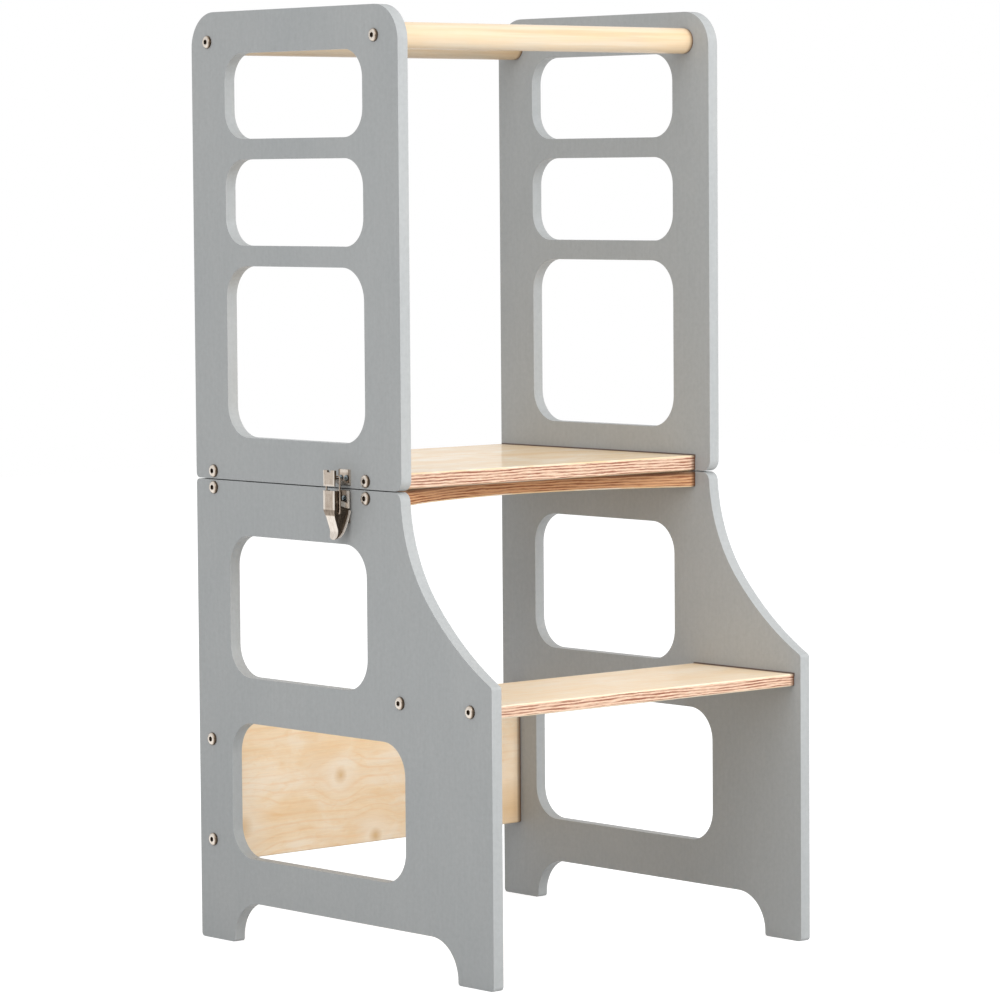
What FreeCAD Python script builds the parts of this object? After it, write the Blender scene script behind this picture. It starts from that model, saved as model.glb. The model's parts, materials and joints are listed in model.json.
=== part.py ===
import FreeCAD, Part
import math
import os

# Toddler's kitchen tower in birch plywood: a lower section with a step and a
# platform, and an upper section with a guard of two rails. The upper section is
# hinged to the lower one along the rear edge. With both side latches open it swings
# over backwards, and the two platforms then lie level as one small table.
#
# Millimetres. X is across, the step faces -Y, Z is up. The origin is on the floor,
# under the middle of the box that holds the whole tower.

V = FreeCAD.Vector

# Overall sizes
HEIGHT = 900.0
WIDTH = 408.0            # over the outer faces of the sides
LOWER_DEPTH = 433.0      # sides of the lower section, which reach forward to the step
UPPER_DEPTH = 309.0      # sides of the upper section
SIDE_BOARD = 12.0        # plywood of the sides
PLATFORM_BOARD = 15.0    # plywood of the two platforms
THIN_BOARD = 12.0        # plywood of the step and the back panel
SPLIT = HEIGHT / 2       # height of the hinge pins, midway in the gap
SPLIT_GAP = 1.0          # between the two sections
BOARD_EASE = 1.2         # chamfer on the boards' long edges

# Hinges on the rear edges of the platforms
PIN_BEHIND = 2.2         # hinge pin behind the rear edge of the boards
KNUCKLE_RADIUS = 2.0
KNUCKLE_ROOM = 0.5       # from a leaf's plate to the other leaf's knuckles
KNUCKLE_GAP = 0.3        # between neighbouring knuckles
KNUCKLES = 3             # two on the lower leaf, one on the upper
HINGE_PIN_RADIUS = 1.0
LEAF_THICKNESS = 1.2
LEAF_HEIGHT = 13.0
HINGE_LENGTH = 50.0
HINGE_OFFSET = 110.0     # middle of each hinge from the middle of the tower
LEAF_SCREW_PITCH = 30.0

# The rear edge of the boards, placed so that the whole tower, hinges included, is
# centred on the origin
REAR = (LOWER_DEPTH - PIN_BEHIND - KNUCKLE_RADIUS) / 2
HALF_WIDTH = WIDTH / 2
INNER = HALF_WIDTH - SIDE_BOARD
LOWER_TOP = SPLIT - SPLIT_GAP / 2
UPPER_BOTTOM = SPLIT + SPLIT_GAP / 2

# Windows: rear and front edge ahead of the rear edge, low and high edge, corner radius
WINDOW_REAR = 51.0
WINDOW_FRONT = 257.5
LOW_WINDOW_FRONT = 310.5
SMALL_CORNER = 27.0
LARGE_CORNER = 31.0
UPPER_WINDOWS = (
    (WINDOW_REAR, WINDOW_FRONT, 778.0, 860.0, SMALL_CORNER),
    (WINDOW_REAR, WINDOW_FRONT, 676.0, 758.5, SMALL_CORNER),
    (WINDOW_REAR, WINDOW_FRONT, 492.0, 656.5, LARGE_CORNER),
)
LOWER_WINDOWS = (
    (WINDOW_REAR, WINDOW_FRONT, 260.0, 397.5, LARGE_CORNER),
    (WINDOW_REAR, LOW_WINDOW_FRONT, 84.0, 216.0, LARGE_CORNER),
)

# Outline of the sides
UPPER_TOP_CORNER = 34.0
UPPER_FRONT_CORNER = 11.0
UPPER_REAR_CORNER = 5.0
LOWER_REAR_CORNER = 4.0
FOOT_CORNER = 4.0
FOOT_INNER_CORNER = 3.0
REAR_FOOT = 52.5
FRONT_FOOT = 49.5
ARCH_HEIGHT = 41.0
ARCH_CORNER = 37.0

# The sweep from the platform down to the step: two arcs that run into each other
SWEEP_AHEAD = 466.0      # centre of the tighter, upper arc
SWEEP_HEIGHT = 451.3
SWEEP_UPPER_RADIUS = 158.7
SWEEP_LOWER_RADIUS = 309.0
SWEEP_JOIN = math.radians(41.3)
SWEEP_TOP_CORNER = 9.0
SWEEP_NOSE = 4.0

# Boards between the sides
PLATFORM_DEPTH = 288.0
BELLY_HALF = 184.0       # half the width of the curved cut in the lower platform's front
BELLY_DEPTH = 50.0
STEP_TOP = 260.0
STEP_REAR = 285.0        # ahead of the rear edge
STEP_FRONT = 424.5
BACK_PANEL_REAR = 14.5
BACK_PANEL_BOTTOM = 75.0
BACK_PANEL_TOP = 219.0
RAIL_DIAMETER = 25.0
RAIL_HEIGHT = 871.5
RAILS_AHEAD = {"rear_rail": 25.0, "front_rail": 275.0}

# Small round things repeat so often that they have flats in place of round faces
HEAD_SIDES = 10
SMALL_HEAD_SIDES = 8
SHANK_SIDES = 6
KNUCKLE_SIDES = 8
WIRE_SIDES = 8
BEND_STEPS = 3           # straight pieces in each bend of the loop

# Button-head screws, driven through the sides
HEAD_RADIUS = 6.2
HEAD_HEIGHT = 2.8
HEAD_CROWN_RADIUS = 4.2
SHANK_RADIUS = 3.1
SHANK_LENGTH = 50.0
HOLE_ROOM = 0.05         # round every shank
HOLE_END_ROOM = 0.5      # past every tip
PLATFORM_SCREWS_AHEAD = (27.5, 257.5)
STEP_SCREWS_AHEAD = (304.5, 403.5)
BACK_SCREW_HEIGHTS = (97.5, 196.0)

# Small wood screws: countersunk in the hinges, round-headed in the latches
SMALL_SHANK_RADIUS = 1.5
HINGE_SCREW_LENGTH = 12.0
HINGE_HEAD_RADIUS = 2.6
LATCH_SCREW_LENGTH = 10.0
LATCH_HEAD_RADIUS = 3.0
LATCH_HEAD_HEIGHT = 1.5
LATCH_CROWN_RADIUS = 2.0

# Side latch. Its sizes are taken outwards from the face of the side ("out"),
# backwards from its own middle ("along") and upwards from the floor ("up"). Each
# outline is a list of out (or along), up and the radius of that corner.
LATCH_AHEAD = 227.5
LATCH_OUT = 20.0         # outermost face of the lever and of the catch
LATCH_REACH = 25.0       # past the outermost face, for cuts
PIVOT = (16.0, 438.5)    # lever on its base
PIVOT_RADIUS = 1.5
PIVOT_ROOM = 0.05        # round the pin in the lever

BASE_SHEET = 1.2
BASE_HALF = 7.0
BASE_BOTTOM = 418.0
BASE_TOP = 448.5
BASE_FLANGE = 3.5        # edges of the base, turned up this far from the side
EAR_RADIUS = 2.4
EAR_TILT = math.radians(18.2)
BASE_SCREWS_UP = (424.0, 441.0)

LEVER_SHEET = 1.2
CHEEK_SHEET = 1.0
LEVER_HALF = 8.3
LEVER_TOP = 449.0
LEVER_TIP = 402.8
LEVER_FACE = (
    (LATCH_OUT, LEVER_TOP, 0), (LATCH_OUT, 429.2, 8.0),
    (13.8, 410.5, 9.0), (15.6, LEVER_TIP, 0),
)
LEVER_RIM = (
    (13.4, 403.6, 0), (8.0, 410.0, 10.0), (2.0, 424.5, 5.0),
    (2.0, 430.8, 0), (12.8, 433.8, 0), (12.8, LEVER_TOP, 0),
)
LEVER_FRONT = (
    (LEVER_HALF, LEVER_TOP, 0), (LEVER_HALF, 431.0, 4.0),
    (6.2, 424.0, 5.0), (5.7, LEVER_TIP, 5.2),
)

LOOP_FOOT = (14.7, 427.6)    # loop in the lever's cheeks
LOOP_TOP = (14.7, 462.5)     # loop in the catch
WIRE_RADIUS = 1.0
WIRE_ROOM = 0.08         # round the wire in the lever
LOOP_HALF = 9.7          # middle of each arm of the loop from the latch's middle
LOOP_END = 6.4           # ends of the wire from the latch's middle
LOOP_BEND = 2.0
LOOP_FOOT_BEND = 1.5

CATCH_SHEET = 1.5
CATCH_HALF = 8.2
CATCH_TOP = 468.2
CATCH_SIDE = (
    (0.0, 452.6, 0), (12.8, 459.6, 0), (18.5, 459.6, 0), (18.5, 453.2, 0),
    (LATCH_OUT, 453.2, 0), (LATCH_OUT, CATCH_TOP, 0.9), (17.4, CATCH_TOP, 0.9),
    (17.4, 461.1, 0), (13.2, 461.1, 0), (CATCH_SHEET, 455.0, 0),
    (CATCH_SHEET, CATCH_TOP, 0), (0.0, CATCH_TOP, 0),
)
NOTCH_HALF = 2.5
NOTCH_DEPTH = 2.0
CATCH_SCREW_UP = 460.0
CATCH_SCREW_HALF = 4.2

TINY = 1e-4


def ahead(distance):
    """Y of a point this far ahead of the boards' rear edge."""
    return REAR - distance


def mirrored(shape):
    """The right-hand copy of a left-hand piece."""
    return shape.mirror(V(0, 0, 0), V(1, 0, 0))


def box(x, y, z):
    """A box between two values on each axis."""
    return Part.makeBox(x[1] - x[0], y[1] - y[0], z[1] - z[0], V(x[0], y[0], z[0]))


def arc_between(start, middle, end):
    return Part.Arc(start, middle, end).toShape()


def corner_points(before, corner, after, radius):
    """Start, middle and end of the arc that rounds a corner."""
    to_before = (before - corner).normalize()
    to_after = (after - corner).normalize()
    half = to_before.getAngle(to_after) / 2
    run = radius / math.tan(half)
    bisector = (to_before + to_after).normalize()
    middle = corner + bisector * (radius / math.sin(half) - radius)
    return corner + to_before * run, middle, corner + to_after * run


def outline(points, closed=True):
    """Edges through (point, radius) pairs, with an arc at each corner that has a
    radius. An open outline starts and ends at its first and last points."""
    stops = []
    for i, (corner, radius) in enumerate(points):
        before = points[i - 1][0]
        after = points[(i + 1) % len(points)][0]
        stops.append(corner_points(before, corner, after, radius) if radius else (corner,))
    edges = []
    followers = stops[1:] + stops[:1]
    for i, (stop, following) in enumerate(zip(stops, followers)):
        if len(stop) > 1:
            edges.append(arc_between(*stop))
        at_end = not closed and i == len(stops) - 1
        if not at_end and (following[0] - stop[-1]).Length > TINY:
            edges.append(Part.LineSegment(stop[-1], following[0]).toShape())
    return edges


def flat_point(y, z):
    return V(0, y, z)


def prism(edges, x0, x1):
    """A solid from an outline in the YZ plane, between two values of X."""
    face = Part.Face(Part.Wire(edges))
    face.translate(V(x0, 0, 0))
    return face.extrude(V(x1 - x0, 0, 0))


def window_outline(rear, front, low, high, radius):
    y0 = ahead(front)
    y1 = ahead(rear)
    corners = ((y0, low), (y1, low), (y1, high), (y0, high))
    return outline([(flat_point(y, z), radius) for y, z in corners])


def flat_sided(rings, sides, start, axis):
    """A turned solid with flats in place of its round faces, from a
    (distance along the axis, radius) pair for each of its rings."""
    turns = [2 * math.pi * i / sides for i in range(sides)]
    corners = [[V(d, r * math.cos(t), r * math.sin(t)) for t in turns] for d, r in rings]
    walls = [corners[0], corners[-1]]
    for ring, following in zip(corners, corners[1:]):
        for i in range(sides):
            j = (i + 1) % sides
            walls.append([ring[i], ring[j], following[j], following[i]])
    faces = [Part.Face(Part.makePolygon(wall + wall[:1])) for wall in walls]
    solid = Part.Solid(Part.Shell(faces))
    solid.Placement = FreeCAD.Placement(start, FreeCAD.Rotation(V(1, 0, 0), axis))
    return solid


def screw_hole(shank_radius, depth, start, axis):
    """A cutter for the hole of a screw's shank."""
    radius = shank_radius + HOLE_ROOM
    return flat_sided(((0, radius), (depth, radius)), SHANK_SIDES, start, axis)


def drill_side(solid, groups):
    """Holes right through a left-hand side for groups of screws."""
    for name in groups:
        for y, z in screws_of(name):
            start = V(-HALF_WIDTH - 1, y, z)
            solid = solid.cut(screw_hole(SHANK_RADIUS, SIDE_BOARD + 2, start, V(1, 0, 0)))
    return solid


def screws_of(name):
    """(y, z) of a group of screws through each side."""
    lower_mid = LOWER_TOP - PLATFORM_BOARD / 2
    upper_mid = UPPER_BOTTOM + PLATFORM_BOARD / 2
    step_mid = STEP_TOP - THIN_BOARD / 2
    back_mid = BACK_PANEL_REAR + THIN_BOARD / 2
    groups = {
        "rail_screws": [(ahead(d), RAIL_HEIGHT) for d in RAILS_AHEAD.values()],
        "upper_platform_screws": [(ahead(d), upper_mid) for d in PLATFORM_SCREWS_AHEAD],
        "lower_platform_screws": [(ahead(d), lower_mid) for d in PLATFORM_SCREWS_AHEAD],
        "step_screws": [(ahead(d), step_mid) for d in STEP_SCREWS_AHEAD],
        "back_panel_screws": [(ahead(back_mid), z) for z in BACK_SCREW_HEIGHTS],
    }
    return groups[name]


def latch_point(out, along, up):
    """A point of the left-hand latch."""
    return V(-HALF_WIDTH - out, ahead(LATCH_AHEAD) + along, up)


def drill_for_latch(solid, places, sheet):
    """Pilot holes in a left-hand side for the screws of a latch piece."""
    depth = LATCH_SCREW_LENGTH - sheet + HOLE_END_ROOM
    for along, up in places:
        start = latch_point(0, along, up)
        solid = solid.cut(screw_hole(SMALL_SHANK_RADIUS, depth, start, V(1, 0, 0)))
    return solid


def upper_side():
    """Left-hand side of the upper section, with three windows."""
    front = ahead(UPPER_DEPTH)
    corners = (
        (REAR, UPPER_BOTTOM, UPPER_REAR_CORNER),
        (REAR, HEIGHT, UPPER_TOP_CORNER),
        (front, HEIGHT, UPPER_TOP_CORNER),
        (front, UPPER_BOTTOM, UPPER_FRONT_CORNER),
    )
    edges = outline([(flat_point(y, z), r) for y, z, r in corners])
    side = prism(edges, -HALF_WIDTH, -INNER)
    for window in UPPER_WINDOWS:
        side = side.cut(prism(window_outline(*window), -HALF_WIDTH - 1, -INNER + 1))
    side = drill_side(side, ("rail_screws", "upper_platform_screws"))
    return drill_for_latch(side, catch_screw_places(), CATCH_SHEET)


def arc_points(centre, radius, start, end):
    """Three points along an arc whose angles are taken down from +Y."""
    angles = (start, (start + end) / 2, end)
    return [centre + V(0, radius * math.cos(a), -radius * math.sin(a)) for a in angles]


def side_front():
    """Edges of the lower side's front, from its vertical edge up the sweep to the
    top, with the two points where the straight edges meet them."""
    front = ahead(LOWER_DEPTH)
    upper_centre = flat_point(ahead(SWEEP_AHEAD), SWEEP_HEIGHT)
    toward_join = V(0, math.cos(SWEEP_JOIN), -math.sin(SWEEP_JOIN))
    lower_centre = upper_centre + toward_join * (SWEEP_UPPER_RADIUS - SWEEP_LOWER_RADIUS)

    nose_y = front + SWEEP_NOSE
    reach = SWEEP_LOWER_RADIUS + SWEEP_NOSE
    nose_z = lower_centre.z - math.sqrt(reach ** 2 - (nose_y - lower_centre.y) ** 2)
    nose = flat_point(nose_y, nose_z)
    nose_out = (nose - lower_centre).normalize()
    lower_end = math.atan2(-nose_out.z, nose_out.y)

    shoulder_z = LOWER_TOP - SWEEP_TOP_CORNER
    reach = SWEEP_UPPER_RADIUS + SWEEP_TOP_CORNER
    rise = shoulder_z - upper_centre.z
    shoulder_y = upper_centre.y + math.sqrt(reach ** 2 - rise ** 2)
    shoulder = flat_point(shoulder_y, shoulder_z)
    shoulder_out = (shoulder - upper_centre).normalize()
    upper_start = math.atan2(-shoulder_out.z, shoulder_out.y)

    nose_start = flat_point(front, nose_z)
    nose_end = lower_centre + nose_out * SWEEP_LOWER_RADIUS
    nose_mid_way = (nose_start + nose_end) * 0.5 - nose
    nose_middle = nose + nose_mid_way.normalize() * SWEEP_NOSE
    top_start = upper_centre + shoulder_out * SWEEP_UPPER_RADIUS
    top_end = flat_point(shoulder_y, LOWER_TOP)
    top_mid_way = (top_start + top_end) * 0.5 - shoulder
    top_middle = shoulder + top_mid_way.normalize() * SWEEP_TOP_CORNER
    edges = [
        arc_between(nose_start, nose_middle, nose_end),
        arc_between(*arc_points(lower_centre, SWEEP_LOWER_RADIUS, lower_end, SWEEP_JOIN)),
        arc_between(*arc_points(upper_centre, SWEEP_UPPER_RADIUS, SWEEP_JOIN, upper_start)),
        arc_between(top_start, top_middle, top_end),
    ]
    return nose_start, edges, top_end


def lower_side():
    """Left-hand side of the lower section: two windows, feet, and the front sweep."""
    nose_start, front_edges, top_end = side_front()
    front = ahead(LOWER_DEPTH)
    rear_foot = ahead(REAR_FOOT)
    front_foot = front + FRONT_FOOT
    corners = (
        (top_end.y, top_end.z, 0),
        (REAR, LOWER_TOP, LOWER_REAR_CORNER),
        (REAR, 0, FOOT_CORNER),
        (rear_foot, 0, FOOT_INNER_CORNER),
        (rear_foot, ARCH_HEIGHT, ARCH_CORNER),
        (front_foot, ARCH_HEIGHT, ARCH_CORNER),
        (front_foot, 0, FOOT_INNER_CORNER),
        (front, 0, FOOT_CORNER),
        (front, nose_start.z, 0),
    )
    edges = outline([(flat_point(y, z), r) for y, z, r in corners], closed=False)
    side = prism(edges + front_edges, -HALF_WIDTH, -INNER)
    for window in LOWER_WINDOWS:
        side = side.cut(prism(window_outline(*window), -HALF_WIDTH - 1, -INNER + 1))
    side = drill_side(side, ("lower_platform_screws", "step_screws", "back_panel_screws"))
    return drill_for_latch(side, base_screw_places(), BASE_SHEET)


def board(y, z):
    """A board between the sides, its long edges chamfered."""
    blank = box((-INNER, INNER), y, z)
    long_edges = [e for e in blank.Edges if e.BoundBox.XLength > INNER]
    return blank.makeChamfer(BOARD_EASE, long_edges)


def drill_ends(piece, name):
    """Blind holes in both ends of a board or rail for a group of screws."""
    depth = SHANK_LENGTH - SIDE_BOARD + HOLE_END_ROOM
    for y, z in screws_of(name):
        left = screw_hole(SHANK_RADIUS, depth, V(-INNER, y, z), V(1, 0, 0))
        piece = piece.cut(left).cut(mirrored(left))
    return piece


def hinge_screw_places():
    """X of every screw in the hinges."""
    places = []
    for side in (-1, 1):
        for step in (-0.5, 0.5):
            places.append(side * HINGE_OFFSET + step * LEAF_SCREW_PITCH)
    return places


def leaf_middle(upper):
    """Height of the middle of a leaf and of its screws."""
    half = PLATFORM_BOARD / 2
    return UPPER_BOTTOM + half if upper else LOWER_TOP - half


def belly_cut(low):
    """A cutter for the shallow arc in the lower platform's front edge, where someone
    who sits at the table leans in. It leaves the chamfer of the other long edges."""
    radius = (BELLY_HALF ** 2 + BELLY_DEPTH ** 2) / (2 * BELLY_DEPTH)
    centre_y = ahead(PLATFORM_DEPTH) + BELLY_DEPTH - radius
    high = low + PLATFORM_BOARD
    cut = Part.makeCylinder(radius, PLATFORM_BOARD, V(0, centre_y, low))
    for z, towards in ((low, 1), (high, -1)):
        start = V(0, centre_y, z)
        cut = cut.fuse(Part.makeCone(radius + BOARD_EASE, radius, BOARD_EASE, start, V(0, 0, towards)))
    return cut


def platform(upper):
    """A platform board, drilled for its side screws and for its hinge leaves."""
    low = UPPER_BOTTOM if upper else LOWER_TOP - PLATFORM_BOARD
    piece = board((ahead(PLATFORM_DEPTH), REAR), (low, low + PLATFORM_BOARD))
    if not upper:
        piece = piece.cut(belly_cut(low))
    piece = drill_ends(piece, "upper_platform_screws" if upper else "lower_platform_screws")
    depth = HINGE_SCREW_LENGTH - LEAF_THICKNESS + HOLE_END_ROOM
    for x in hinge_screw_places():
        start = V(x, REAR, leaf_middle(upper))
        piece = piece.cut(screw_hole(SMALL_SHANK_RADIUS, depth, start, V(0, -1, 0)))
    return piece


def step_board():
    piece = board((ahead(STEP_FRONT), ahead(STEP_REAR)), (STEP_TOP - THIN_BOARD, STEP_TOP))
    return drill_ends(piece, "step_screws")


def back_panel():
    y = (ahead(BACK_PANEL_REAR + THIN_BOARD), ahead(BACK_PANEL_REAR))
    piece = board(y, (BACK_PANEL_BOTTOM, BACK_PANEL_TOP))
    return drill_ends(piece, "back_panel_screws")


def rail(distance_ahead):
    y = ahead(distance_ahead)
    radius = RAIL_DIAMETER / 2
    bar = Part.makeCylinder(radius, 2 * INNER, V(-INNER, y, RAIL_HEIGHT), V(1, 0, 0))
    return drill_ends(bar, "rail_screws")


def side_screw(y, z):
    """A button-head screw through the left-hand side."""
    inwards = V(1, 0, 0)
    top = V(-HALF_WIDTH - HEAD_HEIGHT, y, z)
    head = flat_sided(((0, HEAD_CROWN_RADIUS), (HEAD_HEIGHT, HEAD_RADIUS)), HEAD_SIDES, top, inwards)
    under = V(-HALF_WIDTH, y, z)
    shank_ends = ((0, SHANK_RADIUS), (SHANK_LENGTH, SHANK_RADIUS))
    return head.fuse(flat_sided(shank_ends, SHANK_SIDES, under, inwards))


def side_screws(name):
    """Every screw of a group, on both sides of the tower."""
    left = [side_screw(y, z) for y, z in screws_of(name)]
    return Part.makeCompound(left + [mirrored(s) for s in left])


def hinge_screw(x, z):
    """A countersunk screw whose head ends level with the face of its leaf."""
    sink = HINGE_HEAD_RADIUS - SMALL_SHANK_RADIUS
    rings = (
        (0, HINGE_HEAD_RADIUS),
        (sink, SMALL_SHANK_RADIUS),
        (HINGE_SCREW_LENGTH, SMALL_SHANK_RADIUS),
    )
    return flat_sided(rings, SHANK_SIDES, V(x, REAR + LEAF_THICKNESS, z), V(0, -1, 0))


def hinge_screws(upper):
    """The four screws of the upper or lower leaves."""
    return Part.makeCompound([hinge_screw(x, leaf_middle(upper)) for x in hinge_screw_places()])


def latch_screw(start):
    """A round-headed screw whose head rests on a latch piece at its start."""
    inwards = V(1, 0, 0)
    top = start - V(LATCH_HEAD_HEIGHT, 0, 0)
    head_rings = ((0, LATCH_CROWN_RADIUS), (LATCH_HEAD_HEIGHT, LATCH_HEAD_RADIUS))
    shank_rings = ((0, SMALL_SHANK_RADIUS), (LATCH_SCREW_LENGTH, SMALL_SHANK_RADIUS))
    head = flat_sided(head_rings, SMALL_HEAD_SIDES, top, inwards)
    return head.fuse(flat_sided(shank_rings, SHANK_SIDES, start, inwards))


def latch_screws(places, sheet):
    """The screws of a latch piece of a given sheet."""
    return Part.makeCompound([latch_screw(latch_point(sheet, *place)) for place in places])


def latch_screw_holes(places):
    """Cutters for the screw holes in the sheet of a latch piece."""
    starts = [latch_point(CATCH_SHEET + 1, *place) for place in places]
    depth = CATCH_SHEET + 2
    return [screw_hole(SMALL_SHANK_RADIUS, depth, start, V(1, 0, 0)) for start in starts]


def hinge_leaf(upper, side):
    """A leaf with its share of the knuckles, on a platform's rear edge."""
    x0 = side * HINGE_OFFSET - HINGE_LENGTH / 2
    pin_y = REAR + PIN_BEHIND
    sign = 1 if upper else -1
    near = SPLIT + sign * (KNUCKLE_RADIUS + KNUCKLE_ROOM)
    far = SPLIT + sign * (SPLIT_GAP / 2 + LEAF_HEIGHT)
    sheet = (REAR, REAR + LEAF_THICKNESS)
    leaf = box((x0, x0 + HINGE_LENGTH), sheet, sorted((near, far)))
    pitch = HINGE_LENGTH / KNUCKLES
    bore = HINGE_PIN_RADIUS + (HOLE_ROOM if upper else 0)
    for i in range(1 if upper else 0, KNUCKLES, 2):
        start = x0 + i * pitch + KNUCKLE_GAP / 2
        length = pitch - KNUCKLE_GAP
        ends = ((0, KNUCKLE_RADIUS), (length, KNUCKLE_RADIUS))
        barrel = flat_sided(ends, KNUCKLE_SIDES, V(start, pin_y, SPLIT), V(1, 0, 0))
        neck = box((start, start + length), sheet, sorted((near, SPLIT)))
        leaf = leaf.fuse(barrel).fuse(neck)
    leaf = leaf.cut(Part.makeCylinder(bore, HINGE_LENGTH, V(x0, pin_y, SPLIT), V(1, 0, 0)))
    for x in hinge_screw_places():
        leaf = leaf.cut(hinge_screw(x, leaf_middle(upper)))
    return leaf.removeSplitter()


def hinge_pin(side):
    x0 = side * HINGE_OFFSET - HINGE_LENGTH / 2
    start = V(x0, REAR + PIN_BEHIND, SPLIT)
    return Part.makeCylinder(HINGE_PIN_RADIUS, HINGE_LENGTH, start, V(1, 0, 0))


def latch_side(corners, half):
    """A latch piece from its side view, as wide as twice the half."""
    points = [(latch_point(out, -half, up), radius) for out, up, radius in corners]
    return Part.Face(Part.Wire(outline(points))).extrude(V(0, 2 * half, 0))


def latch_rectangle(out, up, half):
    """A latch box between two values outwards and two upwards."""
    start = latch_point(out[1], -half, up[0])
    return Part.makeBox(out[1] - out[0], 2 * half, up[1] - up[0], start)


def latch_pin(radius, half, place):
    """A pin or hole along the latch's width, at (out, up)."""
    start = latch_point(place[0], -half, place[1])
    return Part.makeCylinder(radius, 2 * half, start, V(0, 1, 0))


def base_screw_places():
    return [(0, up) for up in BASE_SCREWS_UP]


def catch_screw_places():
    return [(-CATCH_SCREW_HALF, CATCH_SCREW_UP), (CATCH_SCREW_HALF, CATCH_SCREW_UP)]


def base_side():
    """Side view of the base's walls: an ear that slopes up and out to the pivot, and a
    low flange above it."""
    out, up = PIVOT
    across = EAR_RADIUS * math.cos(EAR_TILT)
    rise = EAR_RADIUS * math.sin(EAR_TILT)
    lower_tip = (out + across + rise, up + rise - across, EAR_RADIUS)
    upper_tip = (out + across - rise, up + rise + across, EAR_RADIUS)
    slope = math.tan(EAR_TILT)
    lower_root = lower_tip[1] - (lower_tip[0] - BASE_FLANGE) * slope
    upper_root = upper_tip[1] - (upper_tip[0] - BASE_FLANGE) * slope
    return (
        (0, lower_root, 0), (BASE_FLANGE, lower_root, 0), lower_tip, upper_tip,
        (BASE_FLANGE, upper_root, 0), (BASE_FLANGE, BASE_TOP, 0), (0, BASE_TOP, 0),
    )


def latch_base():
    """Base plate with low flanges, and two ears that hold the lever's pivot."""
    height = (BASE_BOTTOM, BASE_TOP)
    walls = latch_side(base_side(), BASE_HALF)
    hollow = latch_rectangle((BASE_SHEET, LATCH_REACH), height, BASE_HALF - BASE_SHEET)
    plate = latch_rectangle((0, BASE_SHEET), height, BASE_HALF)
    base = walls.cut(hollow).fuse(plate)
    base = base.cut(latch_pin(PIVOT_RADIUS, BASE_HALF + 1, PIVOT))
    for hole in latch_screw_holes(base_screw_places()):
        base = base.cut(hole)
    return base.removeSplitter()


def lever_front(inset):
    """Front view of the lever, drawn in by an inset, as a solid that runs outwards."""
    right = []
    for along, up, radius in LEVER_FRONT:
        lift = inset if up == LEVER_TIP else 0
        right.append((along - inset, up + lift, max(radius - inset, 0)))
    left = [(-along, up, radius) for along, up, radius in reversed(right)]
    points = [(latch_point(0, along, up), radius) for along, up, radius in right + left]
    return Part.Face(Part.Wire(outline(points))).extrude(V(-LATCH_REACH, 0, 0))


def latch_lever():
    """Pressed lever: a channel, open towards the side, that narrows to its tip."""
    body = latch_side(LEVER_FACE + LEVER_RIM, LEVER_HALF).common(lever_front(0))
    behind = ((-1, LEVER_TIP, 0), (-1, LEVER_TOP, 0))
    inner_face = tuple((out - LEVER_SHEET, up, radius) for out, up, radius in LEVER_FACE)
    channel = latch_side(inner_face + behind, LEVER_HALF).common(lever_front(CHEEK_SHEET))
    body = body.cut(channel)
    body = body.cut(latch_pin(PIVOT_RADIUS + PIVOT_ROOM, LEVER_HALF + 1, PIVOT))
    hole_corner = (WIRE_RADIUS + WIRE_ROOM) / math.cos(math.pi / WIRE_SIDES)
    rings = ((0, hole_corner), (2 * LEVER_HALF + 2, hole_corner))
    start = latch_point(LOOP_FOOT[0], -LEVER_HALF - 1, LOOP_FOOT[1])
    return body.cut(flat_sided(rings, WIRE_SIDES, start, V(0, 1, 0)))


def latch_loop():
    """Wire loop: hooked into the lever's cheeks, up both sides and over the catch."""
    foot_up = LOOP_FOOT[1]
    top_up = LOOP_TOP[1]
    right = (
        (LOOP_HALF, top_up, LOOP_BEND), (LOOP_HALF, foot_up, LOOP_FOOT_BEND),
        (LOOP_END, foot_up, 0),
    )
    left = tuple((-along, up, radius) for along, up, radius in reversed(right))
    out = LOOP_TOP[0]
    points = [(latch_point(out, along, up), radius) for along, up, radius in left + right]
    stops = [points[0][0]]
    for edge in outline(points, closed=False):
        straight = isinstance(edge.Curve, Part.Line)
        stops += edge.discretize(2 if straight else BEND_STEPS + 1)[1:]
    turns = [2 * math.pi * (i + 0.5) / WIRE_SIDES for i in range(WIRE_SIDES + 1)]
    rim = [stops[0] + V(math.cos(t), 0, math.sin(t)) * WIRE_RADIUS for t in turns]
    mitred = 1
    return Part.makePolygon(stops).makePipeShell([Part.makePolygon(rim)], True, False, mitred)


def latch_catch():
    """Keeper: a plate, a shelf that rises outwards to a seat for the loop, and a lip
    that holds the loop in."""
    catch = latch_side(CATCH_SIDE, CATCH_HALF)
    notch_out = (LATCH_OUT - 2 * CATCH_SHEET, LATCH_REACH)
    notch = latch_rectangle(notch_out, (CATCH_TOP - NOTCH_DEPTH, CATCH_TOP + 1), NOTCH_HALF)
    catch = catch.cut(notch)
    for hole in latch_screw_holes(catch_screw_places()):
        catch = catch.cut(hole)
    return catch


def pairs():
    """Left-hand pieces that the tower has once on each side."""
    return {
        "upper_side": upper_side(),
        "lower_side": lower_side(),
        "latch_base": latch_base(),
        "latch_base_screws": latch_screws(base_screw_places(), BASE_SHEET),
        "latch_pivot": latch_pin(PIVOT_RADIUS, LEVER_HALF, PIVOT),
        "latch_lever": latch_lever(),
        "latch_loop": latch_loop(),
        "latch_catch": latch_catch(),
        "latch_catch_screws": latch_screws(catch_screw_places(), CATCH_SHEET),
    }


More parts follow.
